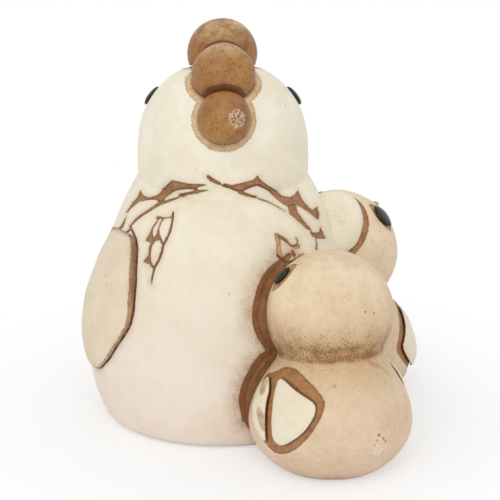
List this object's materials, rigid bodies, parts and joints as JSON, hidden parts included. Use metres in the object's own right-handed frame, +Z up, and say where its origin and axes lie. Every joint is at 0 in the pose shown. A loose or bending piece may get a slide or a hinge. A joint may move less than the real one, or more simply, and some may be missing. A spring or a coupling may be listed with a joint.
{
  "type": "animal figurine",
  "caption": "Hen with chicks figurine in cream ceramic: a round hen with a ball comb and folded wing, chicks nestled behind and under her other wing, hollow cast with vented feet.",
  "frame": {"origin": "on the standing plane, under the middle of the group's box", "axes": "+Z up; the hen faces -Y and her left side is +X"},
  "size_m": [0.0938, 0.0968, 0.1078],
  "materials": {
    "cream_body": "semi-matt cream ceramic, brown wash left in the incised lines",
    "wing_cream": "semi-matt warm cream ceramic, brown wash round the edge",
    "chick_tan": "semi-matt pale tan ceramic, brown wash in the neck",
    "comb_brown": "satin speckled brown ceramic",
    "beak_brown": "satin brown ceramic",
    "eye_black": "black glaze"
  },
  "bodies": {
    "root": {"hen_shell": "cream_body", "comb_front": "comb_brown", "comb_middle": "comb_brown", "comb_rear": "comb_brown", "hen_eye_left": "eye_black", "hen_eye_right": "eye_black", "hen_beak": "beak_brown", "hen_wattle_left": "comb_brown", "hen_wattle_right": "comb_brown", "hen_wing_left": "wing_cream", "hen_wing_right": "cream_body", "chick_rear_shell": "chick_tan", "chick_rear_eye_left": "eye_black", "chick_rear_eye_right": "eye_black", "chick_rear_beak": "beak_brown", "chick_rear_wing_left": "wing_cream", "chick_rear_wing_right": "wing_cream", "chick_front_shell": "chick_tan", "chick_front_eye_left": "eye_black", "chick_front_eye_right": "eye_black", "chick_front_beak": "beak_brown", "chick_front_wing_right": "wing_cream"}
  },
  "joints": []
}
